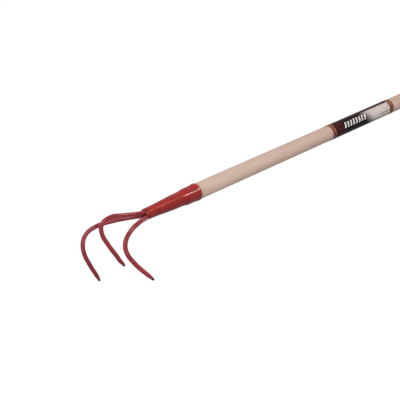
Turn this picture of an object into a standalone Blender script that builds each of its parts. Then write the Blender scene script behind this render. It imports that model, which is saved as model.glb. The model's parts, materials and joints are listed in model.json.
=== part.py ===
"""Three-tine claw cultivator on a long round wooden handle.

Metres, +Z up. The tool lies at rest on the ground on its two outer tines and the end of
its handle. The handle runs along X with its end at +X, and the claw is at -X.

Everything is built about the handle's axis first: X is 0 at the socket's mouth, the
tool's right side is -Y and its working side is -Z. At the end the whole tool is tilted
until it rests on the ground.
"""
from math import atan2, cos, pi, radians, sin, sqrt

import bmesh
import bpy
import numpy as np
from mathutils import Matrix, Vector

MM = 0.001

# Handle: a round wooden pole, cut down to a seat and a taper where the socket takes it.
HANDLE_LENGTH = 1200 * MM          # from the socket's mouth to the butt
HANDLE_DIAMETER = 28 * MM
BUTT_ROUNDING = 5 * MM
SEAT_CUT = 1.6 * MM                # the seat's radius is this much less than the pole's
SHOULDER_LENGTH = 5 * MM           # the slope from the pole down to the seat
SHOULDER_STANDOFF = 1.5 * MM       # from the socket's mouth to the foot of that slope
NOSE_END_GAP = 7 * MM              # between the wood's nose and the tines' roots

# Socket: one rolled steel sheet, open along a seam that is welded over its lower part.
SOCKET_LENGTH = 108 * MM
SOCKET_WALL = 1.5 * MM
SEAT_LENGTH = 25 * MM              # of the straight bore below the mouth
LIP_FLARE = 1.1 * MM               # the bore opens by this much at the mouth
LIP_LENGTH = 9 * MM
WAIST_STEP = 1.5 * MM              # the bore's radius drops by this much below the seat
WAIST_LENGTH = 8 * MM              # over this length
SEAM_WIDTH = 1.6 * MM
SEAM_ANGLE = 22                    # degrees up from level, on the tool's right side
NOTCH_WIDTH = 4.5 * MM             # the seam's corners are worn open at the mouth
NOTCH_LENGTH = 7 * MM
SEAM_WELD_START = 30 * MM          # from the mouth to the start of the seam's weld
SEAM_WELD_PROUD = 0.5 * MM

# Tines: round bars bent to shape, their roots packed side by side in the socket's neck.
ROD_DIAMETER = 7.2 * MM
ROOT_LENGTH = 22 * MM              # of each bar inside the neck
TIP_DIAMETER = 4.2 * MM
TIP_TAPER = 12 * MM
CLAW_REACH = 93 * MM               # from the neck to the front of the outer tines
CLAW_SPREAD = 147 * MM             # between the centres of the outer tips
CLAW_DROP = 82 * MM                # from the handle's axis down to the outer tips
CENTRE_REACH = 87 * MM
CENTRE_RISE = 18 * MM              # of the centre tine's crest over the handle's axis
CENTRE_DROP = 61 * MM
PACK_TURN = -20                    # degrees that the packed roots are turned, right side down
ARM_SKEW = 1.6 * MM                # the right arm leaves the neck lower, the left one higher

# Weld beads in the three valleys between the bars, at the neck's rim.
BEAD_DIAMETER = 2.8 * MM
BEAD_HALF_SPAN = 24                # degrees

# Nail through the socket's wall into the wood's seat, opposite the seam.
NAIL_POSITION = 15 * MM            # from the mouth
NAIL_DIAMETER = 3.2 * MM
NAIL_POINT = 4 * MM
NAIL_HEAD_DIAMETER = 7 * MM
NAIL_HEAD_HEIGHT = 1.6 * MM
NAIL_DEPTH = 16 * MM               # of its point below the socket's outside

# Printed film round the handle, with a coloured band at each of its ends.
LABEL_START = 334 * MM             # from the mouth to the near edge of the first band
LABEL_LENGTH = 158 * MM
BAND_WIDTH = 11 * MM
FILM_THICKNESS = 0.3 * MM
BAND_THICKNESS = 0.4 * MM

GAP = 0.3 * MM                     # between pieces that touch
OVERSHOOT = 5 * MM                 # of a cutter past what it cuts
TURN_STEPS = 40                    # sides of a large turned piece
SMALL_TURN_STEPS = 16
BAR_RESOLUTION = 3                 # gives the bars ten sides

NAME = "claw_cultivator"

# The neck: three bars packed in a round bore.
ROD_RADIUS = ROD_DIAMETER / 2
PACK_RADIUS = (ROD_DIAMETER + GAP) / sqrt(3)        # from the axis to each bar's centre
NECK_BORE = PACK_RADIUS + ROD_RADIUS + GAP

# The socket's bore, which the wood's seat fits.
SEAT_BORE = HANDLE_DIAMETER / 2 - SEAT_CUT + GAP
WAIST_BORE = SEAT_BORE - WAIST_STEP

# Each free point of an outer tine is a share of its reach from the neck, of half the
# spread and of the drop.
OUTER_SHAPE = [
    (0.13, 0.24, 0.01), (0.36, 0.56, -0.03), (0.62, 0.81, -0.04), (0.83, 0.84, 0.03),
    (0.965, 0.80, 0.18), (1.00, 0.785, 0.36), (0.945, 0.83, 0.60), (0.83, 0.942, 0.88),
    (0.78, 1.00, 1.00),
]
# The centre tine's heights are shares of its rise up to the crest, and of its drop below.
CENTRE_SHAPE = [
    (0.14, -0.30), (0.44, -0.67), (0.74, -0.99), (0.95, -0.68),
    (1.00, 0.00), (0.95, 0.32), (0.86, 0.66), (0.815, 0.83), (0.765, 1.00),
]
# How much of the arms' skew each of their first free points has.
SKEW_SHARES = (1.0, 0.7)


def clear_scene():
    for obj in list(bpy.data.objects):
        bpy.data.objects.remove(obj, do_unlink=True)


def new_collection(name):
    collection = bpy.data.collections.new(name)
    bpy.context.scene.collection.children.link(collection)
    return collection


def material(name, colour, roughness):
    mat = bpy.data.materials.new(name)
    mat.use_nodes = True
    shader = mat.node_tree.nodes["Principled BSDF"]
    shader.inputs["Base Color"].default_value = (*colour, 1)
    shader.inputs["Roughness"].default_value = roughness
    shader.inputs["Metallic"].default_value = 0
    return mat


def add_object(name, data, collection, mat=None):
    obj = bpy.data.objects.new(name, data)
    collection.objects.link(obj)
    if mat:
        data.materials.append(mat)
    return obj


def turned(name, profile, closed, collection, mat=None, steps=TURN_STEPS):
    """A body turned about X, from (x, radius) points that run from +X to -X outside."""
    mesh = bpy.data.meshes.new(name)
    edges = [(i, i + 1) for i in range(len(profile) - 1)]
    if closed:
        edges.append((len(profile) - 1, 0))
    mesh.from_pydata([(radius, 0, x) for x, radius in profile], edges, [])
    obj = add_object(name, mesh, collection, mat)
    obj.rotation_euler = (0, pi / 2, 0)
    screw = obj.modifiers.new("turn", "SCREW")
    screw.axis = "Z"
    screw.angle = 2 * pi
    screw.steps = steps
    screw.render_steps = steps
    screw.use_merge_vertices = True
    screw.merge_threshold = 0.00001
    screw.use_smooth_shade = True
    return obj


def arc(centre_x, centre_radius, radius, start, end, count):
    """Points of a round in the (x, radius) plane, with angles in degrees from +X."""
    angles = [radians(start + (end - start) * i / count) for i in range(count + 1)]
    return [(centre_x + radius * cos(a), centre_radius + radius * sin(a)) for a in angles]


def smoothstep(value):
    value = min(max(value, 0), 1)
    return value * value * (3 - 2 * value)


def bore_radius(depth):
    """The socket's inside radius at a depth below its mouth."""
    if depth < SEAT_LENGTH:
        return SEAT_BORE + LIP_FLARE * (1 - smoothstep(depth / LIP_LENGTH))
    below_seat = depth - SEAT_LENGTH
    if below_seat < WAIST_LENGTH:
        return SEAT_BORE - WAIST_STEP * smoothstep(below_seat / WAIST_LENGTH)
    cone_length = SOCKET_LENGTH - SEAT_LENGTH - WAIST_LENGTH
    share = smoothstep((below_seat - WAIST_LENGTH) / cone_length)
    return WAIST_BORE + (NECK_BORE - WAIST_BORE) * share


def wall_stations(start, end):
    """The depths between start and end at which a wall of the socket has its points."""
    cone_start = SEAT_LENGTH + WAIST_LENGTH
    cone_length = SOCKET_LENGTH - cone_start
    stations = [LIP_LENGTH * i / 4 for i in range(5)]
    stations += [SEAT_LENGTH + WAIST_LENGTH * i / 3 for i in range(3)]
    stations += [cone_start + cone_length * i / 9 for i in range(10)]
    inner = [depth for depth in stations if start + MM < depth < end - MM]
    return [start] + inner + [end]


def wall_profile(start, end, height):
    """The closed outline of a wall that stands from the bore to a height over it."""
    stations = wall_stations(start, end)
    outside = [(-depth, bore_radius(depth) + height) for depth in stations]
    inside = [(-depth, bore_radius(depth)) for depth in reversed(stations)]
    return outside + inside


def seam_turn(extra=0):
    """Turns an object's +Z to the seam's direction about the handle's axis."""
    return Matrix.Rotation(radians(90 - SEAM_ANGLE + extra), 4, "X")


def cutter_box(name, length_range, width, height, collection):
    """A box along the seam, from half the neck's bore out to a height over the axis."""
    low = NECK_BORE / 2
    bm = bmesh.new()
    bmesh.ops.create_cube(bm, size=1)
    start, end = length_range
    size = Matrix.Diagonal((end - start, width, height - low, 1))
    centre = Matrix.Translation(((start + end) / 2, 0, (low + height) / 2))
    bm.transform(centre @ size)
    mesh = bpy.data.meshes.new(name)
    bm.to_mesh(mesh)
    bm.free()
    obj = add_object(name, mesh, collection)
    obj.matrix_world = seam_turn()
    return hide_cutter(obj)


def hide_cutter(obj):
    obj.hide_render = True
    obj.display_type = "WIRE"
    return obj


def boolean(obj, other, operation):
    modifier = obj.modifiers.new(other.name, "BOOLEAN")
    modifier.operation = operation
    modifier.solver = "EXACT"
    modifier.object = other


def make_handle(parts, mat):
    radius = HANDLE_DIAMETER / 2
    nose_depth = SOCKET_LENGTH - ROOT_LENGTH - NOSE_END_GAP
    profile = [(HANDLE_LENGTH, 0)]
    profile += arc(
        HANDLE_LENGTH - BUTT_ROUNDING, radius - BUTT_ROUNDING, BUTT_ROUNDING, 0, 90, 5
    )
    profile.append((SHOULDER_STANDOFF + SHOULDER_LENGTH, radius))
    profile.append((SHOULDER_STANDOFF, radius - SEAT_CUT))
    for depth in wall_stations(LIP_LENGTH, nose_depth):
        profile.append((-depth, bore_radius(depth) - GAP))
    profile.append((-nose_depth, 0))
    return turned("handle", profile, False, parts, mat)


def make_socket(parts, cutters, mat):
    socket = turned("socket", wall_profile(0, SOCKET_LENGTH, SOCKET_WALL), True, parts, mat)
    reach = SEAT_BORE + LIP_FLARE + SOCKET_WALL + OVERSHOOT
    slit = cutter_box(
        "seam_slit", (-SOCKET_LENGTH - OVERSHOOT, OVERSHOOT), SEAM_WIDTH, reach, cutters
    )
    notch = cutter_box("mouth_notch", (-NOTCH_LENGTH, OVERSHOOT), 1, reach, cutters)
    slope = (NOTCH_WIDTH - SEAM_WIDTH) / NOTCH_LENGTH
    for vertex in notch.data.vertices:
        vertex.co.y *= SEAM_WIDTH + slope * (vertex.co.x + NOTCH_LENGTH)
    boolean(socket, slit, "DIFFERENCE")
    boolean(socket, notch, "DIFFERENCE")
    return socket


def make_seam_weld(parts, cutters, mat):
    """A bead that fills the seam from below the seat down to the neck."""
    height = SOCKET_WALL + SEAM_WELD_PROUD
    profile = wall_profile(SEAM_WELD_START, SOCKET_LENGTH - GAP, height)
    weld = turned("seam_weld", profile, True, parts, mat)
    strip = cutter_box(
        "seam_strip", (-SOCKET_LENGTH - OVERSHOOT, 0), SEAM_WIDTH - 2 * GAP,
        SEAT_BORE + height + OVERSHOOT, cutters,
    )
    boolean(weld, strip, "INTERSECT")


def bent_bar(name, route, parts, mat):
    """A round bar along (forward, right, down) points whose first two are its straight root."""
    end = Vector(route[-1])
    inward = (Vector(route[-2]) - end).normalized()
    route.insert(-1, tuple(end + inward * TIP_DIAMETER / 2))
    curve = bpy.data.curves.new(name, "CURVE")
    curve.dimensions = "3D"
    curve.bevel_depth = ROD_RADIUS
    curve.bevel_resolution = BAR_RESOLUTION
    curve.resolution_u = 5
    curve.use_fill_caps = True
    spline = curve.splines.new("BEZIER")
    spline.bezier_points.add(len(route) - 1)
    for point, (forward, right, down) in zip(spline.bezier_points, route):
        point.co = (-forward, -right, -down)
        point.handle_left_type = "AUTO"
        point.handle_right_type = "AUTO"
    for point in spline.bezier_points[:2]:
        point.handle_left_type = "ALIGNED"
        point.handle_right_type = "ALIGNED"
        point.handle_left = point.co + Vector((ROD_RADIUS, 0, 0))
        point.handle_right = point.co - Vector((ROD_RADIUS, 0, 0))
    taper_tip(spline.bezier_points)
    add_object(name, curve, parts, mat)


def taper_tip(points):
    """Thins a bar towards its end, and rounds the end off."""
    end = points[-1].co
    for point in points:
        share = min((end - point.co).length / TIP_TAPER, 1)
        point.radius = (TIP_DIAMETER + (ROD_DIAMETER - TIP_DIAMETER) * share) / ROD_DIAMETER
    points[-1].radius = 0.5 * TIP_DIAMETER / ROD_DIAMETER


def pack_place(angle):
    """The (right, down) place of a bar in the neck, for its angle from the tool's right."""
    turned_angle = radians(angle + PACK_TURN)
    return PACK_RADIUS * cos(turned_angle), -PACK_RADIUS * sin(turned_angle)


def root_points(angle):
    """The two ends of a bar's straight root, which runs on past the weld beads."""
    right, down = pack_place(angle)
    return [
        (SOCKET_LENGTH - ROOT_LENGTH, right, down),
        (SOCKET_LENGTH + 2 * GAP + BEAD_DIAMETER, right, down),
    ]


def make_outer_tine(name, side, pack_angle, parts, mat):
    """The right tine for side 1 and the left tine for side -1."""
    route = root_points(pack_angle)
    free_start = len(route)
    for reach, spread, drop in OUTER_SHAPE:
        route.append((
            SOCKET_LENGTH + CLAW_REACH * reach,
            side * CLAW_SPREAD / 2 * spread,
            CLAW_DROP * drop,
        ))
    for i, share in enumerate(SKEW_SHARES, free_start):
        forward, right, down = route[i]
        route[i] = (forward, right, down + side * ARM_SKEW * share)
    bent_bar(name, route, parts, mat)


def make_tines(parts, mat):
    make_outer_tine("tine_right", 1, -30, parts, mat)
    make_outer_tine("tine_left", -1, 210, parts, mat)
    route = root_points(90)
    for reach, height in CENTRE_SHAPE:
        rise_or_drop = CENTRE_RISE if height < 0 else CENTRE_DROP
        route.append((SOCKET_LENGTH + CENTRE_REACH * reach, 0, rise_or_drop * height))
    bent_bar("tine_centre", route, parts, mat)


def bead_circle():
    """The radius of the beads' middle line, at which their ends just clear the bars."""
    off_bar = radians(60 - BEAD_HALF_SPAN)
    clear = ROD_RADIUS + GAP + BEAD_DIAMETER / 2
    along = PACK_RADIUS * cos(off_bar)
    across = PACK_RADIUS * sin(off_bar)
    return along + sqrt(clear ** 2 - across ** 2)


def make_neck_beads(parts, mat):
    """A short arc of weld on the neck's rim in each valley between two bars."""
    bead_radius = BEAD_DIAMETER / 2
    circle = bead_circle()
    x = -SOCKET_LENGTH - GAP - bead_radius
    count = 8
    valleys = (("neck_weld_right", 30), ("neck_weld_left", 150), ("neck_weld_under", 270))
    for name, middle in valleys:
        curve = bpy.data.curves.new(name, "CURVE")
        curve.dimensions = "3D"
        curve.bevel_depth = bead_radius
        curve.bevel_resolution = BAR_RESOLUTION
        curve.use_fill_caps = True
        spline = curve.splines.new("POLY")
        spline.points.add(count)
        for i, point in enumerate(spline.points):
            along = 2 * i / count - 1
            angle = radians(middle + PACK_TURN + BEAD_HALF_SPAN * along)
            point.co = (x, -circle * cos(angle), circle * sin(angle), 1)
            point.radius = sqrt(1 - 0.75 * along ** 4)
        add_object(name, curve, parts, mat)


def make_nail(parts, cutters, handle, socket, mat):
    """A nail with a domed head, turned to face away from the seam."""
    outside = bore_radius(NAIL_POSITION) + SOCKET_WALL
    under_head = outside + GAP
    point_end = outside - NAIL_DEPTH
    head_radius = NAIL_HEAD_DIAMETER / 2
    shank_radius = NAIL_DIAMETER / 2
    rim_height = 0.4 * NAIL_HEAD_HEIGHT
    profile = []
    for angle in (radians(90), radians(60), radians(30), 0):
        dome = (NAIL_HEAD_HEIGHT - rim_height) * sin(angle)
        profile.append((under_head + rim_height + dome, head_radius * cos(angle)))
    profile[0] = (under_head + NAIL_HEAD_HEIGHT, 0)
    profile += [
        (under_head, head_radius), (under_head, shank_radius),
        (point_end + NAIL_POINT, shank_radius), (point_end, 0),
    ]
    nail = turned("handle_nail", profile, False, parts, mat, SMALL_TURN_STEPS)
    nail.matrix_world = Matrix.Translation((-NAIL_POSITION, 0, 0)) @ seam_turn(180)

    hole_radius = shank_radius + GAP
    hole_profile = [
        (outside + OVERSHOOT, 0), (outside + OVERSHOOT, hole_radius),
        (point_end - GAP, hole_radius), (point_end - GAP, 0),
    ]
    hole = turned("nail_hole", hole_profile, False, cutters, None, SMALL_TURN_STEPS)
    hole.matrix_world = nail.matrix_world
    hide_cutter(hole)
    boolean(handle, hole, "DIFFERENCE")
    boolean(socket, hole, "DIFFERENCE")


def sleeve(name, start, length, thickness, parts, mat):
    """A thin tube round the handle."""
    inner = HANDLE_DIAMETER / 2 + GAP
    outer = inner + thickness
    end = start + length
    profile = [(end, outer), (start, outer), (start, inner), (end, inner)]
    turned(name, profile, True, parts, mat)


def make_label(parts, film, band):
    film_start = LABEL_START + BAND_WIDTH + GAP
    rear_start = film_start + LABEL_LENGTH + GAP
    sleeve("label_band_front", LABEL_START, BAND_WIDTH, BAND_THICKNESS, parts, band)
    sleeve("label_film", film_start, LABEL_LENGTH, FILM_THICKNESS, parts, film)
    sleeve("label_band_rear", rear_start, BAND_WIDTH, BAND_THICKNESS, parts, band)


def surface_points(parts):
    """All the parts' points in world space, as (x, z) rows and their y values."""
    graph = bpy.context.evaluated_depsgraph_get()
    points = []
    for obj in parts.objects:
        evaluated = obj.evaluated_get(graph)
        mesh = evaluated.to_mesh()
        points += [evaluated.matrix_world @ v.co for v in mesh.vertices]
        evaluated.to_mesh_clear()
    return np.array(points)


def tilted(points, tilt):
    """The points' x and z once they are turned about Y."""
    x = points[:, 0] * cos(tilt) + points[:, 2] * sin(tilt)
    z = points[:, 2] * cos(tilt) - points[:, 0] * sin(tilt)
    return x, z


def lay_on_ground(parts, cutters):
    """Tilts the whole tool until claw and butt both touch the ground, and centres it."""
    points = surface_points(parts)
    tilt = 0.0
    for _ in range(6):
        x, z = tilted(points, tilt)
        claw = np.where(x < 0)[0][np.argmin(z[x < 0])]
        butt = np.where(x > 0)[0][np.argmin(z[x > 0])]
        tilt += atan2(z[butt] - z[claw], x[butt] - x[claw])
    x, z = tilted(points, tilt)
    middle_x = (x.min() + x.max()) / 2
    middle_y = (points[:, 1].min() + points[:, 1].max()) / 2
    rest = bpy.data.objects.new("tool_axis", None)
    bpy.context.scene.collection.objects.link(rest)
    for obj in list(parts.objects) + list(cutters.objects):
        obj.parent = rest
    place = Matrix.Translation((-middle_x, -middle_y, -z.min()))
    rest.matrix_world = place @ Matrix.Rotation(tilt, 4, "Y")


def build():
    clear_scene()
    parts = new_collection(NAME)
    cutters = new_collection(NAME + "_cutters")
    wood = material("pale_ash", (0.66, 0.50, 0.37), 0.55)
    paint = material("socket_paint", (0.52, 0.02, 0.02), 0.28)
    rod_paint = material("tine_paint", (0.42, 0.02, 0.03), 0.3)
    weld = material("weld_paint", (0.5, 0.05, 0.03), 0.4)
    nail_paint = material("nail_paint", (0.45, 0.03, 0.03), 0.35)
    film = material("film_print", (0.05, 0.04, 0.04), 0.3)
    band = material("band_print", (0.45, 0.14, 0.04), 0.35)

    handle = make_handle(parts, wood)
    socket = make_socket(parts, cutters, paint)
    make_seam_weld(parts, cutters, weld)
    make_tines(parts, rod_paint)
    make_neck_beads(parts, weld)
    make_nail(parts, cutters, handle, socket, nail_paint)
    make_label(parts, film, band)
    lay_on_ground(parts, cutters)


build()
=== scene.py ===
"""Looks of the claw cultivator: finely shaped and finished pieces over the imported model.

Shapes are worked out in the tool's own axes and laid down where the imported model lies. The
origin is the middle of the socket's mouth, X runs along the handle to its end, Z is up and
-Y is the tool's right side. An angle round the handle starts at -Y and grows upwards.
"""
import json
from math import acos, atan2, cos, exp, pi, radians, sin, sqrt

import bmesh
import bpy
import numpy as np
from mathutils import Matrix, Vector, noise


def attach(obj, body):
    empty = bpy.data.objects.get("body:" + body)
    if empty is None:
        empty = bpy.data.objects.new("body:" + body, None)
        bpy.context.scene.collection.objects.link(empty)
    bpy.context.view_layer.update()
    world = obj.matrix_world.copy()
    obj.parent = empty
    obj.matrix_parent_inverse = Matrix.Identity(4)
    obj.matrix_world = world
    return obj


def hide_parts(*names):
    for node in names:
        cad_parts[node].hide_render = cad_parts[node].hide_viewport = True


MM = 0.001

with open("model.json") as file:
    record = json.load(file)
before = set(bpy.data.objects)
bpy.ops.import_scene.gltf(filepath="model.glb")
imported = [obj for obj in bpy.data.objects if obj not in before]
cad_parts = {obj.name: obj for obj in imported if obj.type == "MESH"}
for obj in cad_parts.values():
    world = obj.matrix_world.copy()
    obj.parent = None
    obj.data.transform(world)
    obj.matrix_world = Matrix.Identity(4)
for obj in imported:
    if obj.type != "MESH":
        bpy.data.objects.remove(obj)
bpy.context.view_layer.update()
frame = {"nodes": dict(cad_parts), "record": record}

# Handle
BUTT_ROUNDING = 5 * MM
SEAT_CUT = 1.6 * MM
SEAT_DEPTH = 80 * MM
SEAT_TAPER = 0.72                  # the radius at the seat's end against the rest of it
SEAT_TAPER_START = -25 * MM        # from the socket's mouth, as are the next three
SEAT_RINGS_START = -20 * MM
SHOULDER_START = 1.5 * MM
SHOULDER_END = 6.5 * MM
SEAT_STEP = 3 * MM
SHOULDER_STEP = 1 * MM
POLE_STEP = 5 * MM
POLE_SIDES = 72
POLE_UNEVEN = 0.10 * MM
DENT_COUNT = 26
DENTS_START = 30 * MM              # from the mouth
DENTS_END = 20 * MM                # from the butt
DENT_REACH = (3, 7)                # smallest and largest, in mm
DENT_DEPTH = (0.12, 0.35)

# Socket
SHEET = 1.5 * MM
SHEET_COLUMNS = 132
SHEET_STEP = 1.5 * MM
SHEET_BEVEL = 0.35 * MM
SHEET_WAVES = ((0.16 * MM, 13 * MM, 1), (0.05 * MM, 4.5 * MM, 3))  # height, size and seed
WAVE_CIRCLE = 13 * MM
SEAM_OPEN_END = 31 * MM            # from the mouth to where the seam is closed
SEAM_CLOSING_START = 0.55 * SEAM_OPEN_END
SEAM_OPEN_WIDTH = 1.2 * MM
SEAM_CLOSED_WIDTH = 0.5 * MM
SEAM_WANDER = 0.3 * MM
SEAM_STRAY = 1.6 * MM              # more wander where the seam is open
NOTCH_WIDTH = 4.2 * MM
NOTCH_LENGTH = 7.5 * MM
UPPER_EDGE_LIFT = 0.45 * MM
LOWER_EDGE_SINK = 0.4 * MM
EDGE_REACH = 1.8 * MM              # how far round the sheet an edge is bent
SEAM_PEAK = 1.25 * MM              # the sheet's straight edges meet in a peak this high
SEAM_HIGHLIGHT_END = -36                    # a painted highlight, drawn as chips in the seam's paint, in mm from the mouth
SEAM_HIGHLIGHT_MIDDLE = -1.0                # and in mm up from the seam's middle
SEAM_HIGHLIGHT_WIDTH = 1.7

# Welds
BEAD_WIDTH = 2.2 * MM
BEAD_HEIGHT = 0.4 * MM
BEAD_ROOT = 0.35 * MM              # how much more of it there is below
BEAD_BELOW_PEAK = 0.5 * MM
BEAD_BELOW_SEAM = 0.35 * MM        # it lies more on the lower edge
BEAD_RIPPLE = 2.3 * MM
BEAD_STEP = 0.45 * MM
BEAD_SIDES = 16
BEAD_TAPER = 2 * MM
LUMP_PLACES = 8
LUMP_VOXEL = 0.3 * MM
LUMP_UNEVEN = 0.12 * MM

# Tines
BAR_SIDES = 28
BAR_STEP = 1.4 * MM
BAR_WAVES = ((0.014, 14 * MM, 1), (0.010, 4 * MM, 2))  # share of the radius, size and seed
TIP_WEAR = 7 * MM
TIP_HAMMERED = 16 * MM
TIP_UNEVEN = 0.04
TIP_FLAT = 0.04

# Nail
NAIL_SHANK = 1.6 * MM
NAIL_HEAD = 1.6 * MM
NAIL_RIM = 0.5 * MM                # the height of the head's side, under its dome
NAIL_POINT = 3 * MM
NAIL_SIDES = 40

# Label; places in its print are in mm, along the handle and up round it
FILM_GAP = 0.02 * MM
FILM_WALL = 0.14 * MM
FILM_STEP = 2.5 * MM
FILM_CREASES = 0.05 * MM
BAND_WALL = 0.2 * MM
BAND_STEP = 1 * MM
BAND_CREASES = 0.04 * MM
SLEEVE_COLUMNS = 120
SLEEVE_LIFT = 0.05 * MM            # how far a sleeve's ends come off the wood
LAP_ANGLE = radians(168)           # where the film's outer end lies, away from the print
LAP = radians(22)
PRINT_MIDDLE = radians(16)         # the angle that the print is centred on
BLOCK_MIDDLE = (11.5, 1.0)
BARS_START = 24
BARS_PITCH = 8.1
PANEL_LINES = (                    # middle, half size and strength of each grey line
    ((146, -8.0), (24, 1.0), 0.95),
    ((152, 1.0), (3.2, 0.9), 0.9),
    ((136, 5.5), (28, 0.6), 0.5),
)

# Colours, in linear red, green and blue; of two, a cloudy noise mixes them
WOOD = ((0.58, 0.425, 0.345), (0.53, 0.38, 0.31))
WOOD_EARLY = (0.43, 0.295, 0.235)
WOOD_FIBRE = (0.62, 0.485, 0.42)
WOOD_PORE = (0.30, 0.19, 0.14)
WOOD_FAR = (0.455, 0.30, 0.25)     # towards the butt
WOOD_GRIME = (0.28, 0.17, 0.12)
SOCKET_RED = ((0.36, 0.014, 0.012), (0.26, 0.010, 0.011))
BAR_RED = ((0.30, 0.022, 0.031), (0.21, 0.016, 0.023))
WELD_RED = ((0.45, 0.058, 0.038), (0.30, 0.028, 0.02))
# a lighter red for the seam bead, as a painted highlight along its ridge
SEAM_RED_LIT = ((0.52, 0.09, 0.065), (0.34, 0.04, 0.03))
PAINT_SPECK = (0.14, 0.010, 0.010)
# painted highlight for the open seam's lower edge, drawn as pale chipped paint
SEAM_EDGE_HIGHLIGHT = ((0.92, 0.38, 0.34), (0.80, 0.55, 0.45))
DARK_STEEL = (0.05, 0.035, 0.035)
NAIL_STEEL = (0.12, 0.10, 0.09)
FILM_BLACK = ((0.002, 0.001, 0.001), (0.006, 0.003, 0.003))
FILM_FRONT = (0.036, 0.007, 0.006)
FILM_STRIP = (0.055, 0.006, 0.013)
BLOCK_EDGE = (0.115, 0.03, 0.032)
BLOCK_RED = (0.04, 0.003, 0.005)
PANEL_PALE = ((0.50, 0.425, 0.41), (0.62, 0.55, 0.53))
# painted shade for the panel's lower part
PANEL_PAINTED_SHADE = (0.36, 0.34, 0.32)
BARS_WHITE = (0.66, 0.62, 0.60)
LINE_GREY = (0.11, 0.095, 0.09)
COPPER = ((0.13, 0.022, 0.008), (0.21, 0.045, 0.012))
# painted shade for the bands' lower side
COPPER_PAINTED_SHADE = (0.085, 0.035, 0.03)
COPPER_BRIGHT = ((0.52, 0.11, 0.03), (0.62, 0.18, 0.05))
BAND_GOLD = ((0.24, 0.075, 0.02), (0.85, 0.44, 0.13))
BAND_FRONT_EDGE = (0.035, 0.011, 0.008)
BAND_CORE = (0.045, 0.009, 0.006)
BAND_REAR_EDGE = (0.035, 0.009, 0.006)

# Camera, in the tool's axes
CAMERA_PLACE = Vector((-991.3, -1271.5, 235.6)) * MM
CAMERA_HEADING = radians(51.95)
CAMERA_PITCH = radians(-8.82)
CAMERA_ROLL = radians(-17.5)
CAMERA_LENS = 90

# Studio: how bright its walls and ceiling are, as the tool sees them, and its floor
SIDE_GLOW = 0.3
TOP_GLOW = 0.6
FLOOR_BOUNCE = 0.6
FLOOR_SHADE = 0.16                 # the floor that the camera sees, without its glow
FLOOR_GLOW = (0.89, 1)             # as the camera sees it, under the tool and far off
FLOOR_GLOW_REACH = (0.5, 3)        # metres from the tool
FLOOR_RADIUS = 40
LIGHTS = (                         # name, place and aim in the tool's axes, size, power
    ("key", (-0.1, -1.25, 1.05), (0, 0, 0), (0.8, 0.8), 12.5),
    ("left", (-1.5, -0.6, 0.45), (-0.1, 0, 0), (0.7, 1.0), 8),
    ("glint", (1.0, -1.05, 0.55), (-0.1, 0, 0), (0.3, 0.3), 3.5),
    ("back", (0, 1.4, 0.8), (0, 0, 0), (0.8, 0.8), 5),
)


# ---------------------------------------------------------------- the tool's own axes

def tool_axes():
    """The matrix from the tool's own axes to the row frame."""
    mount = frame["record"]["mounts"][0]
    along = Vector(mount["axis"]).normalized()
    across = Vector((0, 1, 0))
    turn = Matrix((along, across, along.cross(across))).transposed().to_4x4()
    butt = Matrix.Translation(mount["pos_m"]) @ turn
    mouth = max((butt.inverted() @ v.co).x for v in frame["nodes"]["socket"].data.vertices)
    return butt @ Matrix.Translation((mouth, 0, 0))


TOOL = tool_axes()


def tool_points(node):
    """A CAD node's points in the tool's axes, one row each."""
    back = TOOL.inverted()
    return np.array([back @ v.co for v in frame["nodes"][node].data.vertices])


def span(node):
    """The lowest and highest X of a node."""
    points = tool_points(node)
    return points[:, 0].min(), points[:, 0].max()


def angle_of(node):
    """The direction of a node's middle, as an angle round the handle."""
    middle = tool_points(node).mean(axis=0)
    return atan2(middle[2], -middle[1])


def radii(node):
    """A node's distances from the handle's axis."""
    points = tool_points(node)
    return np.hypot(points[:, 1], points[:, 2])


POLE_RADIUS = float(radii("handle").max())
SEAM = angle_of("seam_weld")
NECK = span("socket")[0]


def outline(node, step=0.4 * MM, dip=0.3 * MM):
    """The (x, radius) points of a turned node's outside, with x rising and no dips."""
    points = tool_points(node)
    cells = {}
    for x, radius in zip(points[:, 0], radii(node)):
        key = round(x / step)
        if radius > cells.get(key, (0, 0))[1]:
            cells[key] = (x, radius)
    found = [cells[key] for key in sorted(cells)]
    ends = [found[0]] + found + [found[-1]]
    return [
        here for before, here, after in zip(ends, ends[1:], ends[2:])
        if here[1] > min(before[1], after[1]) - dip
    ]


def smooth_outline(node, reach=3 * MM):
    """A function that gives a turned node's outside radius at x, without its corners."""
    xs, sizes = zip(*outline(node))
    offsets = np.linspace(-reach, reach, 9)
    return lambda x: float(np.interp(x + offsets, xs, sizes).mean())


def tube_route(node):
    """The (centre, radius) of each ring of a CAD bar, from its end at +X to its tip."""
    bm = bmesh.new()
    bm.from_mesh(frame["nodes"][node].data)
    bm.transform(TOOL.inverted())
    bmesh.ops.remove_doubles(bm, verts=bm.verts, dist=0.01 * MM)
    far = max(v.co.x for v in bm.verts)
    ring = {v for v in bm.verts if v.co.x > far - 0.05 * MM}
    seen = set(ring)
    route = []
    while ring:
        centre = sum((v.co for v in ring), Vector()) / len(ring)
        radius = sum((v.co - centre).length for v in ring) / len(ring)
        route.append((centre, radius))
        ring = {e.other_vert(v) for v in ring for e in v.link_edges} - seen
        seen |= ring
    bm.free()
    return route


def bead_route(node):
    """Evenly spaced (centre, radius) places along a CAD arc of weld round the neck."""
    points = tool_points(node)
    angles = np.arctan2(points[:, 2], -points[:, 1])
    middle = atan2(np.sin(angles).mean(), np.cos(angles).mean())
    offs = (angles - middle + pi) % (2 * pi) - pi
    distance = radii(node)
    low, high = span(node)
    bead = (high - low) / 2
    circle = (distance.max() + distance.min()) / 2
    reach = offs.max() - bead / circle * 0.6
    last = LUMP_PLACES - 1
    return [
        (around((high + low) / 2, middle + reach * (2 * i / last - 1), circle), bead)
        for i in range(LUMP_PLACES)
    ]


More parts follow.
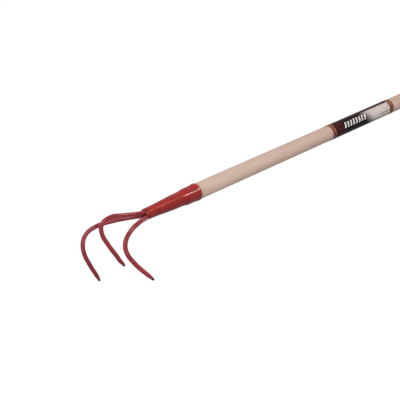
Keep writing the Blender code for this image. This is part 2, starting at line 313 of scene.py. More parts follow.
# ---------------------------------------------------------------- mesh building

def ripple(x, y, z, size, seed=0):
    """Smooth noise from -1 to 1 whose bumps are about one size across."""
    return noise.noise(Vector((x / size + 17.3 * seed, y / size, z / size)))


def around(x, angle, radius):
    """The place at x, at an angle round the handle and a distance from its axis."""
    return Vector((x, -radius * cos(angle), radius * sin(angle)))


def spread(start, end, step):
    """Evenly spaced values from start to end, about a step apart."""
    count = max(round(abs(end - start) / step), 1)
    return [start + (end - start) * i / count for i in range(count + 1)]


def smoothstep(value):
    """Goes smoothly from 0 to 1 as a value does, and stays there outside of that."""
    value = min(max(value, 0), 1)
    return value * value * (3 - 2 * value)


def piece(name, bm, mat, node_names, smooth_angle=35):
    """Finishes a mesh in the tool's axes as a piece that stands for CAD nodes."""
    bm.transform(TOOL)
    bmesh.ops.recalc_face_normals(bm, faces=bm.faces)
    mesh = bpy.data.meshes.new(name)
    bm.to_mesh(mesh)
    bm.free()
    mesh.materials.append(mat)
    mesh.shade_smooth()
    mesh.set_sharp_from_angle(angle=radians(smooth_angle))
    obj = bpy.data.objects.new(name, mesh)
    bpy.context.scene.collection.objects.link(obj)
    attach(obj, "root")
    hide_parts(*node_names)


def skin(rings, caps, wear=None):
    """A bmesh over rings of points, each ring closed, with its two ends as faces."""
    bm = bmesh.new()
    layer = bm.verts.layers.float.new("wear")
    rows = []
    for i, ring in enumerate(rings):
        row = [bm.verts.new(point) for point in ring]
        for j, vert in enumerate(row):
            vert[layer] = wear(i, j) if wear else 0
        rows.append(row)
    count = len(rows[0])
    for low, high in zip(rows, rows[1:]):
        for j in range(count):
            k = (j + 1) % count
            bm.faces.new((low[j], low[k], high[k], high[j]))
    if caps == "fan":
        for row, ring in ((rows[0], rings[0]), (rows[-1], rings[-1])):
            middle = bm.verts.new(sum(ring, Vector()) / count)
            middle[layer] = sum(v[layer] for v in row) / count
            for j in range(count):
                bm.faces.new((row[j], row[(j + 1) % count], middle))
    if caps == "strip":
        for row in (rows[0], rows[-1]):
            for j in range(count // 2 - 1):
                bm.faces.new((row[j], row[j + 1], row[-2 - j], row[-1 - j]))
    return bm


def turned(profile, sides, radius_at, wear):
    """A closed body turned about the handle's axis from (x, radius) points."""
    angles = [2 * pi * j / sides for j in range(sides)]
    rings = [[around(x, a, radius_at(x, a, radius)) for a in angles] for x, radius in profile]
    return skin(rings, "fan", wear)


def rolled_sheet(stations, columns, start_end, outer, wall, wear=None):
    """A sheet rolled about the handle's axis, from its outside's radius and its wall."""
    rings = []
    for x in stations:
        start, end = start_end(x)
        angles = [start + (end - start) * i / (columns - 1) for i in range(columns)]
        outside = [around(x, a, outer(x, a)) for a in angles]
        inside = [around(x, a, outer(x, a) - wall) for a in reversed(angles)]
        rings.append(outside + inside)
    return skin(rings, "strip", wear)


def bevel_edges(bm, width, segments, angle):
    """Rounds off every edge that is sharper than an angle in degrees."""
    bm.normal_update()
    sharp = [e for e in bm.edges if e.is_manifold and e.calc_face_angle() > radians(angle)]
    bmesh.ops.bevel(
        bm, geom=sharp, offset=width, segments=segments, affect="EDGES",
        profile=0.5, clamp_overlap=True,
    )


def smooth_route(route, step):
    """Points and radii about a step apart on a smooth curve through a route's points."""
    places = []
    ends = [route[0]] + route + [route[-1]]
    for before, here, there, after in zip(ends, ends[1:], ends[2:], ends[3:]):
        (p0, _), (p1, r1), (p2, r2), (p3, _) = before, here, there, after
        count = max(round((p2 - p1).length / step), 1)
        for i in range(count):
            t = i / count
            point = 0.5 * (
                2 * p1 + (p2 - p0) * t + (2 * p0 - 5 * p1 + 4 * p2 - p3) * t ** 2
                + (3 * p1 - p0 - 3 * p2 + p3) * t ** 3
            )
            places.append((point, r1 + (r2 - r1) * t))
    return places + [route[-1]]


def swept(places, sides, size_at, wear):
    """A closed bar along (point, radius) places, with its sections kept untwisted."""
    rings = []
    side = Vector((0, 0, 1))
    for i, (point, radius) in enumerate(places):
        ahead = places[min(i + 1, len(places) - 1)][0] - places[max(i - 1, 0)][0]
        ahead.normalize()
        side = (side - ahead * side.dot(ahead)).normalized()
        other = ahead.cross(side)
        ring = []
        for j in range(sides):
            angle = 2 * pi * j / sides
            size = radius * size_at(i, angle, point)
            ring.append(point + (side * cos(angle) + other * sin(angle)) * size)
        rings.append(ring)
    return skin(rings, "fan", wear)


def merged_blobs(blobs, voxel):
    """One closed skin over overlapping balls."""
    bm = bmesh.new()
    for centre, radius in blobs:
        bmesh.ops.create_icosphere(
            bm, subdivisions=2, radius=radius, matrix=Matrix.Translation(centre)
        )
    mesh = bpy.data.meshes.new("blobs")
    bm.to_mesh(mesh)
    bm.free()
    obj = bpy.data.objects.new("blobs", mesh)
    bpy.context.scene.collection.objects.link(obj)
    remesh = obj.modifiers.new("merge", "REMESH")
    remesh.mode = "VOXEL"
    remesh.voxel_size = voxel
    relax = obj.modifiers.new("relax", "SMOOTH")
    relax.factor = 0.5
    relax.iterations = 3
    graph = bpy.context.evaluated_depsgraph_get()
    bm = bmesh.new()
    bm.from_object(obj, graph)
    bm.normal_update()
    bpy.data.objects.remove(obj)
    return bm


# ---------------------------------------------------------------- node trees

class Nodes:
    """A node tree, with short calls that add and link its nodes."""

    def __init__(self, tree):
        self.tree = tree

    def node(self, kind, values=None, **settings):
        node = self.tree.nodes.new("ShaderNode" + kind)
        for key, value in settings.items():
            setattr(node, key, value)
        for key, value in (values or {}).items():
            self.feed(node.inputs[key], value)
        return node

    def feed(self, socket, value):
        if isinstance(value, bpy.types.NodeSocket):
            self.tree.links.new(value, socket)
        else:
            socket.default_value = value

    def math(self, operation, *values):
        node = self.node("Math", dict(enumerate(values)), operation=operation)
        return node.outputs[0]

    def plus(self, first, second):
        return self.math("ADD", first, second)

    def minus(self, first, second):
        return self.math("SUBTRACT", first, second)

    def times(self, first, second):
        return self.math("MULTIPLY", first, second)

    def length(self, first, second):
        squares = self.plus(self.math("POWER", first, 2), self.math("POWER", second, 2))
        return self.math("SQRT", squares)

    def split(self, vector):
        node = self.node("SeparateXYZ", {0: vector})
        return node.outputs[0], node.outputs[1], node.outputs[2]

    def step(self, value, low, high, start=0, end=1):
        """A smooth step from start to end as a value goes from low to high."""
        node = self.node("MapRange", {
            "Value": value, "From Min": low, "From Max": high, "To Min": start, "To Max": end,
        }, interpolation_type="SMOOTHSTEP")
        return node.outputs[0]

    def mix(self, share, first, second):
        """A colour that goes from the first to the second as the share goes from 0 to 1."""
        node = self.node("Mix", {0: share}, data_type="RGBA")
        for index, colour in ((6, first), (7, second)):
            opaque = colour if isinstance(colour, bpy.types.NodeSocket) else (*colour, 1)
            self.feed(node.inputs[index], opaque)
        return node.outputs[2]


class Finish(Nodes):
    """A material, whose textures are laid out in the tool's own axes."""

    def __init__(self, name):
        self.material = bpy.data.materials.new(name)
        self.material.use_nodes = True
        super().__init__(self.material.node_tree)
        self.shader = self.tree.nodes["Principled BSDF"]
        world_place = self.node("TexCoord").outputs["Object"]
        mapping = self.node("Mapping", {
            "Vector": world_place, "Location": TOOL.to_translation(), "Rotation": TOOL.to_euler(),
        }, vector_type="TEXTURE")
        self.place = mapping.outputs["Vector"]

    def set(self, **values):
        """Sets the shader's own inputs, whose names have _ for a space."""
        for key, value in values.items():
            self.feed(self.shader.inputs[key.replace("_", " ")], value)

    def stretched(self, x, y, z):
        """The place with each of its axes scaled."""
        node = self.node("Mapping", {"Vector": self.place, "Scale": (x, y, z)})
        return node.outputs[0]

    def noise(self, scale, detail=2, roughness=0.5, vector=None):
        node = self.node("TexNoise", {
            "Vector": vector or self.place, "Scale": scale, "Detail": detail,
            "Roughness": roughness,
        })
        return node.outputs[0]

    def bump(self, height, distance, strength=1, under=None):
        values = {"Height": height, "Distance": distance, "Strength": strength}
        if under:
            values["Normal"] = under
        return self.node("Bump", values).outputs[0]

    def wear(self):
        return self.node("Attribute", attribute_name="wear").outputs["Fac"]

    def wrapped_places(self, start, middle):
        """Places on a round surface in millimetres: along the handle, and up round it."""
        x, y, z = self.split(self.place)
        angle = self.math("ARCTAN2", z, self.times(y, -1))
        along = self.times(self.minus(x, start), 1 / MM)
        up = self.times(self.minus(angle, middle), POLE_RADIUS / MM)
        return along, up

    def print_box(self, along, up, middle, half, corner, soft):
        """A mask that is 1 inside a round-cornered box, all in millimetres."""
        parts = []
        for value, centre, reach in ((along, middle[0], half[0]), (up, middle[1], half[1])):
            off = self.math("ABSOLUTE", self.minus(value, centre))
            parts.append(self.math("MAXIMUM", self.minus(off, reach - corner), 0))
        return self.step(self.length(*parts), corner + soft, corner - soft)


# ---------------------------------------------------------------- materials

def wood_finish():
    """Pale sanded ash: flat growth rings, fine pores along the grain, soft mottling."""
    f = Finish("pale_ash")
    wander = f.noise(9, 2, vector=f.stretched(0.35, 1, 1))
    x, y, z = f.split(f.place)
    pith_y = f.plus(f.plus(y, 46 * MM), f.times(wander, 12 * MM))
    pith_z = f.plus(f.plus(z, 28 * MM), f.times(wander, 7 * MM))
    ring = f.math("FRACT", f.math("DIVIDE", f.length(pith_y, pith_z), 2.9 * MM))
    early = f.times(f.step(ring, 0, 0.12), f.step(ring, 0.62, 0.3))
    fibres = f.noise(1, 3, 0.6, f.stretched(22, 900, 900))
    pores = f.step(f.noise(1, 2, 0.5, f.stretched(60, 2400, 2400)), 0.56, 0.68)
    pores = f.times(pores, f.step(early, 0, 1, 0.2, 1))
    mottle = f.noise(1, 3, 0.55, f.stretched(14, 70, 70))

    colour = f.mix(f.step(mottle, 0.3, 0.7), *WOOD)
    colour = f.mix(f.times(early, 0.36), colour, WOOD_EARLY)
    colour = f.mix(f.step(fibres, 0.35, 0.75, 0, 0.35), colour, WOOD_FIBRE)
    colour = f.mix(f.times(pores, 0.45), colour, WOOD_PORE)
    colour = f.mix(f.step(x, 0.10, 0.38, 0, 0.55), colour, WOOD_FAR)
    grime = f.times(f.wear(), f.step(f.noise(160, 3), 0.35, 0.7))
    colour = f.mix(f.times(grime, 0.65), colour, WOOD_GRIME)
    rough = f.step(fibres, 0.3, 0.8, 0.48, 0.66)
    normal = f.bump(f.minus(f.times(fibres, 0.5), pores), 0.05 * MM, 0.6)
    f.set(Base_Color=colour, Roughness=rough, Normal=normal, Specular_IOR_Level=0.35)
    return f.material


def seam_highlight_mask(f):
    """A mask that is 1 along the open seam's lower edge, where a painted highlight is drawn as
    chipped paint.
    """
    along, up = f.wrapped_places(0, SEAM)
    reach = f.times(f.step(along, SEAM_HIGHLIGHT_END, SEAM_HIGHLIGHT_END + 3), f.step(along, -2, -4))
    off = f.math("ABSOLUTE", f.minus(up, SEAM_HIGHLIGHT_MIDDLE))
    off = f.plus(off, f.times(f.noise(380, 2), 1.7))
    line = f.step(off, SEAM_HIGHLIGHT_WIDTH / 2 + 1.05, SEAM_HIGHLIGHT_WIDTH / 2 + 0.6)
    return f.times(line, reach)


def paint_finish(name, reds, gloss, lumps, underside_shade=0, coat=0.12, bare=DARK_STEEL, lit_seam_edge=False):
    """Dipped gloss enamel with painted shade, a deeper red on its lower side, worn to steel where
    the wear is.
    """
    f = Finish(name)
    colour = f.mix(f.step(f.noise(95, 3, 0.55), 0.3, 0.72), *reds)
    _, _, z = f.split(f.place)
    # painted shade: the paint is drawn a deeper red on its lower side
    low = f.step(f.plus(z, f.times(f.noise(60, 2), 6 * MM)), 8 * MM, -3 * MM)
    colour = f.mix(f.times(low, underside_shade), colour, tuple(0.72 * c for c in reds[1]))
    speck = f.step(f.noise(620, 2, 0.6), 0.62, 0.74)
    colour = f.mix(f.times(speck, 0.22), colour, PAINT_SPECK)
    scuff = f.plus(f.wear(), f.times(f.noise(480, 4, 0.65), 0.55))
    worn = f.step(scuff, 0.82, 1.02)
    colour = f.mix(f.times(worn, 0.85), colour, bare)
    # painted highlight: a pale line along the open seam's lower edge, drawn as chipped paint
    if lit_seam_edge:
        edge_highlight = f.mix(f.step(f.noise(300, 1), 0.4, 0.6), *SEAM_EDGE_HIGHLIGHT)
        colour = f.mix(seam_highlight_mask(f), colour, edge_highlight)
    rough = f.step(f.noise(210, 3, 0.6), 0.25, 0.8, gloss, gloss + 0.16)
    rough = f.plus(rough, f.times(worn, 0.25))
    normal = f.bump(f.noise(1, 2, 0.5, f.stretched(110, 240, 240)), lumps)
    normal = f.bump(f.noise(1500, 2, 0.5), 0.03 * MM, 0.5, normal)
    f.set(Base_Color=colour, Roughness=rough, Normal=normal)
    f.set(Coat_Weight=coat, Coat_Roughness=0.08, Specular_IOR_Level=0.25)
    return f.material


def film_black(f, along, up, mottle):
    """The film's black, redder at its front end and in a strip along its upper edge."""
    colour = f.mix(mottle, *FILM_BLACK)
    colour = f.mix(f.times(f.step(along, 32, 14), 0.75), colour, FILM_FRONT)
    strip = f.times(f.step(up, 6.5, 10), f.step(along, 30, 90, 0.3, 0.85))
    return f.mix(strip, colour, FILM_STRIP)


def film_block(f, along, up, colour):
    """Adds a plain round-cornered block with a paler edge."""
    edge = f.print_box(along, up, BLOCK_MIDDLE, (6.6, 6.2), 2.6, 0.3)
    fill = f.print_box(along, up, BLOCK_MIDDLE, (5.2, 4.8), 1.6, 0.3)
    colour = f.mix(f.times(edge, 0.7), colour, BLOCK_EDGE)
    return f.mix(fill, colour, BLOCK_RED)


def film_panel(f, along, up, mottle, colour):
    """Adds the pale panel, which the black fades into along a ragged slope, with painted shade
    greying its lower part.
    """
    slope = f.plus(along, f.times(up, 0.8))
    fade = f.step(f.plus(slope, f.times(mottle, 16)), 84, 116)
    pale = f.mix(f.noise(120, 2), *PANEL_PALE)
    # painted shade: the panel is greyer low down round the handle
    pale = f.mix(f.step(up, -9, -16), pale, PANEL_PAINTED_SHADE)
    return f.mix(f.times(f.step(up, 9.8, 8.6), fade), colour, pale)


def film_bars(f, along, up, colour):
    """Adds a row of slanted pale bars."""
    slanted = f.plus(along, f.times(up, -0.35))
    cycle = f.math("FRACT", f.math("DIVIDE", f.minus(slanted, BARS_START), BARS_PITCH))
    bars = f.times(f.step(cycle, 0.02, 0.09), f.step(cycle, 0.6, 0.53))
    row = f.print_box(slanted, up, (54.9, -0.6), (31.4, 5.4), 0.5, 0.25)
    return f.mix(f.times(f.times(bars, row), 0.95), colour, BARS_WHITE)


def film_lines(f, along, up, colour):
    """Adds broken grey lines to the panel."""
    dash = f.step(f.noise(1, 0, 0.5, f.stretched(330, 40, 40)), 0.40, 0.50)
    for middle, half, strength in PANEL_LINES:
        line = f.print_box(along, up, middle, half, 0.2, 0.3)
        colour = f.mix(f.times(f.times(line, dash), strength), colour, LINE_GREY)
    return colour


def film_finish(start):
    """Smooth film: black with a plain block and slanted bars, fading to a pale panel."""
    f = Finish("film_print")
    along, up = f.wrapped_places(start, PRINT_MIDDLE)
    mottle = f.noise(260, 3, 0.6)
    colour = film_black(f, along, up, mottle)
    colour = film_block(f, along, up, colour)
    colour = film_panel(f, along, up, mottle, colour)
    colour = film_bars(f, along, up, colour)
    colour = film_lines(f, along, up, colour)
    rough = f.step(f.noise(180, 2), 0.3, 0.7, 0.26, 0.36)
    normal = f.bump(f.noise(1, 2, 0.5, f.stretched(90, 160, 160)), 0.10 * MM)
    f.set(Base_Color=colour, Roughness=rough, Normal=normal, Specular_IOR_Level=0.08)
    return f.material


def band_finish(name, start, width):
    """Copper-coloured foil with a bright line, a broken gold line and dark edges, and painted
    shade on its lower side.
    """
    f = Finish(name)
    along, up = f.wrapped_places(start, PRINT_MIDDLE)
    glint = f.noise(340, 3, 0.6)
    colour = f.mix(glint, *COPPER)
    # painted shade: the foil darkens on its lower side
    colour = f.mix(f.times(f.step(up, 3, -6), 0.8), colour, COPPER_PAINTED_SHADE)
    bright = f.mix(glint, *COPPER_BRIGHT)
    gold = f.mix(f.step(glint, 0.42, 0.56), *BAND_GOLD)
    # painted shade: the bright and gold lines fade on the lower side
    lit = f.step(up, -9, 2, 0.38, 0.9)
    for middle, half, tint, share in (
        (0.5, 0.7, BAND_FRONT_EDGE, 0.95),
        (2.5, 0.8, bright, lit),
        (4.9, 1.0, BAND_CORE, 0.95),
        (7.3, 0.7, gold, lit),
        (width / MM - 1.2, 1.5, BAND_REAR_EDGE, 0.95),
    ):
        off = f.math("ABSOLUTE", f.minus(along, middle))
        colour = f.mix(f.times(f.step(off, half + 0.2, half - 0.2), share), colour, tint)
    normal = f.bump(f.noise(1, 2, 0.5, f.stretched(260, 300, 300)), 0.06 * MM)
    rough = f.step(f.noise(420, 2), 0.3, 0.7, 0.30, 0.44)
    f.set(Base_Color=colour, Roughness=rough, Normal=normal)
    f.set(Metallic=0.1, Coat_Weight=0.08, Coat_Roughness=0.15, Specular_IOR_Level=0.2)
    return f.material


# ---------------------------------------------------------------- pieces

def dents():
    """Shallow knocks in the wood, as (x, angle, reach, depth)."""
    rng = np.random.default_rng(11)
    last = span("handle")[1] - DENTS_END
    for _ in range(DENT_COUNT):
        yield (
            rng.uniform(DENTS_START, last), rng.uniform(0, 2 * pi),
            rng.uniform(*DENT_REACH) * MM, rng.uniform(*DENT_DEPTH) * MM,
        )


def pole_profile(seat, end):
    """The pole's (x, radius) points, from its seat's end in the socket to its butt."""
    profile = [(-SEAT_DEPTH, seat * SEAT_TAPER), (SEAT_TAPER_START, seat)]
    profile += [(x, seat) for x in spread(SEAT_RINGS_START, SHOULDER_START, SEAT_STEP)]
    for x in spread(SHOULDER_START, SHOULDER_END, SHOULDER_STEP)[1:]:
        share = (x - SHOULDER_START) / (SHOULDER_END - SHOULDER_START)
        profile.append((x, seat + SEAT_CUT * smoothstep(share)))
    straight = spread(SHOULDER_END, end - BUTT_ROUNDING, POLE_STEP)[1:]
    profile += [(x, POLE_RADIUS) for x in straight]
    for i in range(1, 9):
        a = pi / 2 * i / 8
        inward = BUTT_ROUNDING * (1 - cos(a))
        profile.append((end - BUTT_ROUNDING * (1 - sin(a)), POLE_RADIUS - inward))
    for share in (0.6, 0.3, 0.1):
        profile.append((end, (POLE_RADIUS - BUTT_ROUNDING) * share))
    return profile


def make_pole(mat):
    """The wooden pole, cut down to a seat where the socket grips it."""
    end = span("handle")[1]
    seat = POLE_RADIUS - SEAT_CUT
    profile = pole_profile(seat, end)
    knocks = list(dents())

    def radius_at(x, angle, radius):
        y, z = cos(angle) * 20 * MM, sin(angle) * 20 * MM
        uneven = POLE_UNEVEN * (1 + ripple(x, y, z, 90 * MM))
        for place, turn, reach, depth in knocks:
            if abs(x - place) < 3 * reach:
                off = (angle - turn + pi) % (2 * pi) - pi
                square = ((x - place) / reach) ** 2 + (off * radius / (0.8 * reach)) ** 2
                uneven += depth * exp(-square)
        return radius - uneven * min(radius / seat, 1)

    def wear(i, _):
        x = profile[i][0]
        near_socket = exp(-max(x, 0) / (5 * MM))
        near_butt = exp(-max(end - x, 0) / (7 * MM))
        return max(near_socket, near_butt)

    bm = turned(profile, POLE_SIDES, radius_at, wear)
    piece("ash_pole", bm, mat, ["handle"], 40)


def seam_wander(x):
    """How far up round the sheet the seam strays from its line, more where it is open."""
    strayed = SEAM_STRAY * smoothstep(1 + x / SEAM_OPEN_END)
    return SEAM_WANDER * ripple(x, 0, 0, 9 * MM, 2) + strayed * ripple(x, 0, 0, 6.5 * MM, 12)


def seam_gap(x):
    """The seam's width, which closes away from the mouth and is torn into a notch at it."""
    closing = smoothstep((-x - SEAM_CLOSING_START) / (SEAM_OPEN_END - SEAM_CLOSING_START))
    width = SEAM_OPEN_WIDTH + (SEAM_CLOSED_WIDTH - SEAM_OPEN_WIDTH) * closing
    ragged = 1 + 0.45 * ripple(x, 0, 0, 3.1 * MM, 4)
    torn = max(1 + x / NOTCH_LENGTH, 0) ** 1.4 * (NOTCH_WIDTH - SEAM_OPEN_WIDTH)
    return width * ragged + torn * (1 + 0.3 * ripple(x, 0, 0, 2.3 * MM, 9))


def make_socket_sheet(mat):
    """The rolled sheet, whose straight edges meet in a low peak along the seam."""
    size_at = smooth_outline("socket")
    stations = spread(0, NECK, SHEET_STEP)

    def start_end(x):
        radius = size_at(x)
        middle = SEAM + seam_wander(x) / radius
        half = seam_gap(x) / 2 / radius
        return middle + half, middle + 2 * pi - half

    def outer(x, angle):
        radius = size_at(x)
        start, end = start_end(x)
        mouth = smoothstep(1 + x / SEAM_OPEN_END)
        lift = UPPER_EDGE_LIFT * (0.7 + 1.1 * mouth * ripple(x, 0, 0, 5 * MM, 6))
        sink = LOWER_EDGE_SINK * (0.8 + 0.6 * ripple(x, 0, 0, 8 * MM, 7))
        radius += lift * exp(-(((angle - start) * radius / EDGE_REACH) ** 2))
        radius -= sink * exp(-(((end - angle) * radius / EDGE_REACH) ** 2))
        straight = acos(radius / (radius + SEAM_PEAK))
        radius /= cos(max(straight - min(angle - start, end - angle), 0))
        y, z = cos(angle) * WAVE_CIRCLE, sin(angle) * WAVE_CIRCLE
        for height, size, seed in SHEET_WAVES:
            radius -= height * (1 + ripple(x, y, z, size, seed))
        return radius

    def wear(i, j):
        x = stations[i]
        column = j if j < SHEET_COLUMNS else 2 * SHEET_COLUMNS - 1 - j
        to_seam = min(column, SHEET_COLUMNS - 1 - column) * 2 * pi / SHEET_COLUMNS * POLE_RADIUS
        rim = exp(-(x / (1.1 * MM)) ** 2)
        open_seam = exp(-to_seam / (1.0 * MM)) * smoothstep(1 + x / SEAM_OPEN_END)
        neck = exp(-(x - NECK) / (3 * MM))
        return min(0.36 * rim + 0.42 * open_seam + 0.25 * neck, 1)

    bm = rolled_sheet(stations, SHEET_COLUMNS, start_end, outer, SHEET, wear)
    bevel_edges(bm, SHEET_BEVEL, 2, 50)
    piece("rolled_socket", bm, mat, ["socket"], 60)


def make_seam_bead(mat):
    """Short overlapping ripples of weld along the closed seam."""
    low, high = span("seam_weld")
    size_at = smooth_outline("socket")
    stations = spread(high, low, BEAD_STEP)
    last = len(stations) - 1
    rings = []
    for i, x in enumerate(stations):
        to_end = min(i / last, 1 - i / last) * last * BEAD_STEP
        taper = sqrt(min(to_end / BEAD_TAPER, 1)) * 0.95 + 0.05
        cycle = ((x + 0.5 * MM * ripple(x, 0, 0, 7 * MM, 5)) / BEAD_RIPPLE) % 1
        scale = 0.88 + 0.12 * sin(pi * cycle) + 0.06 * ripple(x, 0, 0, 3 * MM, 8)
        radius = size_at(x) + SEAM_PEAK - BEAD_BELOW_PEAK
        middle = SEAM + (seam_wander(x) - BEAD_BELOW_SEAM) / radius
        ring = []
        for j in range(BEAD_SIDES):
            a = 2 * pi * j / BEAD_SIDES
            across = BEAD_WIDTH / 2 * scale * taper * cos(a)
            height = (BEAD_HEIGHT + BEAD_ROOT) * scale * taper * sin(a)
            ring.append(around(x, middle + across / radius, radius + height))
        rings.append(ring)
    bm = skin(rings, "fan", lambda i, j: 0.12)
    piece("seam_weld_bead", bm, mat, ["seam_weld"])


def make_tine(node, mat):
    """A bent bar along its CAD node's route, hammered to a worn tip."""
    places = smooth_route(tube_route(node), BAR_STEP)
    distances = [0]
    for (a, _), (b, _) in zip(places, places[1:]):
        distances.append(distances[-1] + (b - a).length)
    total = distances[-1]
    (long_share, long_size, long_seed), (short_share, short_size, short_seed) = BAR_WAVES

    def size_at(i, angle, point):
        x, y, z = point
        turn_y, turn_z = 4 * MM * cos(angle), 4 * MM * sin(angle)
        uneven = long_share * ripple(x, y + turn_y, z + turn_z, long_size, long_seed)
        uneven += short_share * ripple(x + turn_z, y + turn_y, z, short_size, short_seed)
        hammered = exp(-((total - distances[i]) / TIP_HAMMERED) ** 2)
        knocks = 1 + ripple(x + turn_y, y, z + turn_z, 5 * MM, 3)
        flat = 1 + cos(2 * angle)
        return 1 - uneven - hammered * (TIP_UNEVEN * knocks + TIP_FLAT * flat)

    def wear(i, _):
        to_tip = total - distances[i]
        return min(exp(-((to_tip / TIP_WEAR) ** 2)) * 0.95 + 0.08, 1)

    bm = swept(places, BAR_SIDES, size_at, wear)
    piece(node + "_bar", bm, mat, [node], 50)


def make_neck_lump(node, mat):
    """A lump of weld that fills one valley between two bars and the neck's rim."""
    route = bead_route(node)
    blobs = []
    for i, (point, radius) in enumerate(route):
        fullness = sin(pi * i / (len(route) - 1))
        swell = 0.72 + 0.3 * fullness + 0.12 * ripple(i, 0, 0, 2.2, 3)
        blobs.append((point, radius * swell))
        inward = Vector((point.x + 0.6 * MM, point.y * 0.66, point.z * 0.66))
        blobs.append((inward, radius * (0.75 + 0.4 * fullness)))
        back = Vector((point.x + 1.4 * MM, point.y * 1.03, point.z * 1.03))
        blobs.append((back, radius * swell * 0.9))
    bm = merged_blobs(blobs, LUMP_VOXEL)
    layer = bm.verts.layers.float.new("wear")
    for vert in bm.verts:
        x, y, z = vert.co
        vert.co += vert.normal * LUMP_UNEVEN * ripple(x, y, z, 1.9 * MM, 5)
        vert[layer] = 0.14
    piece(node + "_lump", bm, mat, [node], 60)


def make_nail(mat):
    """A nail whose domed head was hammered down on the socket."""
    points = tool_points("handle_nail")
    distance = radii("handle_nail")
    head_points = points[distance > distance.max() - 1.2 * MM]
    middle = points[distance.argmax()]
    turn = atan2(middle[2], -middle[1])
    top, point_end = distance.max(), distance.min()
    head_radius = (head_points[:, 0].max() - head_points[:, 0].min()) / 2
    under = top - NAIL_HEAD
    dome = NAIL_HEAD - NAIL_RIM
    profile = []
    for i in range(9):
        a = pi / 2 * i / 8
        profile.append((under + NAIL_RIM + dome * cos(a) * 0.92, head_radius * sin(a)))
    profile[0] = (profile[0][0], 0.15 * MM)
    profile += [(under + 0.15 * MM, head_radius), (under, head_radius - 0.25 * MM)]
    profile += [(under, NAIL_SHANK), (point_end + NAIL_POINT, NAIL_SHANK), (point_end, 0.1 * MM)]

    def radius_at(x, angle, radius):
        return radius * (1 - 0.03 * (1 + ripple(cos(angle), sin(angle), x / MM, 0.9, 2)))

    bm = turned(profile, NAIL_SIDES, radius_at, lambda i, j: 0.3 if i < 6 else 0.1)
    place = Matrix.Translation((points[:, 0].mean(), 0, 0))
    upright = Matrix.Rotation(-pi / 2, 4, "Y")
    bm.transform(place @ Matrix.Rotation(pi / 2 - turn, 4, "X") @ upright)
    piece("hammered_nail", bm, mat, ["handle_nail"], 40)


def make_sleeve(name, node, step, wall, mat, seed, creases):
    """A printed sleeve that is stuck on the wood and laps over itself."""
    low, high = span(node)

    def outer(x, angle):
        done = (angle - LAP_ANGLE) / (2 * pi)
        to_end = min(x - low, high - x)
        wavy = 1 + ripple(x, angle * 14 * MM, 0, 9 * MM, seed)
        lifted = SLEEVE_LIFT * exp(-to_end / (1.5 * MM)) * wavy
        y, z = cos(angle) * 14 * MM, sin(angle) * 14 * MM
        crease = creases * ripple(x * 0.45, y, z, 11 * MM, seed)
        return POLE_RADIUS + FILM_GAP + wall * (1 + 1.12 * done) + lifted + crease

    ends = (LAP_ANGLE, LAP_ANGLE + 2 * pi + LAP)
    bm = rolled_sheet(spread(low, high, step), SLEEVE_COLUMNS, lambda x: ends, outer, wall)
    piece(name, bm, mat, [node], 40)


def make_label():
    """The printed film and a foil band over each of its ends."""
    film = film_finish(span("label_film")[0])
    make_sleeve(
        "printed_film", "label_film", FILM_STEP, FILM_WALL, film, 1, FILM_CREASES
    )
    for node in ("label_band_front", "label_band_rear"):
        low, high = span(node)
        foil = band_finish(node + "_foil", low, high - low)
        make_sleeve(
            node + "_ring", node, BAND_STEP, BAND_WALL, foil, 2, BAND_CREASES
        )


# ---------------------------------------------------------------- stage

def floor_finish():
    """White to the camera, with faint shadows, and a pale grey to the tool."""
    mat = bpy.data.materials.new("pale_floor")
    mat.use_nodes = True
    mat.node_tree.nodes.clear()
    n = Nodes(mat.node_tree)
    place = n.node("TexCoord").outputs["Object"]
    distance = n.node("VectorMath", {0: place}, operation="LENGTH").outputs["Value"]
    glow = n.node("Emission", {"Strength": n.step(distance, *FLOOR_GLOW_REACH, *FLOOR_GLOW)})
    shade = n.node("BsdfDiffuse", {"Color": (FLOOR_SHADE, FLOOR_SHADE, FLOOR_SHADE, 1)})
    seen = n.node("AddShader", {0: glow.outputs[0], 1: shade.outputs[0]})
    bounce = n.node("BsdfDiffuse", {"Color": (FLOOR_BOUNCE, FLOOR_BOUNCE, FLOOR_BOUNCE, 1)})
    camera = n.node("LightPath").outputs["Is Camera Ray"]
    choose = n.node("MixShader", {0: camera, 1: bounce.outputs[0], 2: seen.outputs[0]})
    n.node("OutputMaterial", {0: choose.outputs[0]})
    return mat


def make_floor():
    bm = bmesh.new()
    bmesh.ops.create_circle(bm, cap_ends=True, segments=64, radius=FLOOR_RADIUS)
    mesh = bpy.data.meshes.new("floor")
    bm.to_mesh(mesh)
    bm.free()
    mesh.materials.append(floor_finish())
    floor = bpy.data.objects.new("floor", mesh)
    bpy.context.scene.collection.objects.link(floor)


def make_world():
    """A studio that is white to the camera, and to the tool brighter above than round it."""
    world = bpy.data.worlds.new("studio")
    world.use_nodes = True
    n = Nodes(world.node_tree)
    _, _, upward = n.split(n.node("TexCoord").outputs["Generated"])
    glow = n.step(upward, -0.05, 0.85, SIDE_GLOW, TOP_GLOW)
    camera = n.node("LightPath").outputs["Is Camera Ray"]
    level = n.node("Mix", {0: camera, 2: glow, 3: 1})
    background = n.tree.nodes["Background"]
    n.feed(background.inputs["Color"], (1, 1, 1, 1))
    n.feed(background.inputs["Strength"], level.outputs[0])
    bpy.context.scene.world = world


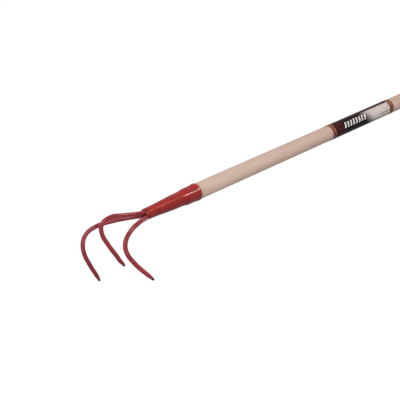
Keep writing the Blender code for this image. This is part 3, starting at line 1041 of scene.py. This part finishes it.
def soft_light(name, place, aim, size, power):
    """A soft light, placed and aimed in the tool's axes, in metres."""
    data = bpy.data.lights.new(name, "AREA")
    data.shape = "RECTANGLE"
    data.size, data.size_y = size
    data.energy = power
    light = bpy.data.objects.new(name, data)
    bpy.context.scene.collection.objects.link(light)
    start, end = TOOL @ Vector(place), TOOL @ Vector(aim)
    turn = (end - start).to_track_quat("-Z", "Y").to_matrix().to_4x4()
    light.matrix_world = Matrix.Translation(start) @ turn


def make_camera():
    data = bpy.data.cameras.new("camera")
    data.lens = CAMERA_LENS
    data.clip_end = 100
    camera = bpy.data.objects.new("camera", data)
    bpy.context.scene.collection.objects.link(camera)
    turn = (
        Matrix.Rotation(CAMERA_HEADING - pi / 2, 4, "Z")
        @ Matrix.Rotation(pi / 2 + CAMERA_PITCH, 4, "X")
        @ Matrix.Rotation(CAMERA_ROLL, 4, "Z")
    )
    camera.matrix_world = TOOL @ Matrix.Translation(CAMERA_PLACE) @ turn
    bpy.context.scene.camera = camera


def make_stage():
    make_camera()
    make_floor()
    make_world()
    for light in LIGHTS:
        soft_light(*light)
    bpy.context.scene.view_settings.view_transform = "Standard"


def make_tool():
    """Every piece of the tool, over the CAD node or nodes that it stands for."""
    make_pole(wood_finish())
    make_socket_sheet(
        paint_finish("socket_enamel", SOCKET_RED, 0.17, 0.09 * MM, underside_shade=0.8, lit_seam_edge=True)
    )
    # painted highlight: the seam bead's paint is a lighter red
    make_seam_bead(paint_finish("seam_lit_enamel", SEAM_RED_LIT, 0.2, 0.08 * MM))
    bar_paint = paint_finish("bar_enamel", BAR_RED, 0.17, 0.08 * MM, coat=0.22)
    for node in ("tine_left", "tine_centre", "tine_right"):
        make_tine(node, bar_paint)
    weld_paint = paint_finish("weld_enamel", WELD_RED, 0.22, 0.08 * MM)
    for node in ("neck_weld_left", "neck_weld_right", "neck_weld_under"):
        make_neck_lump(node, weld_paint)
    make_nail(paint_finish("nail_enamel", SOCKET_RED, 0.22, 0.1 * MM, bare=NAIL_STEEL))
    make_label()


make_stage()
make_tool()
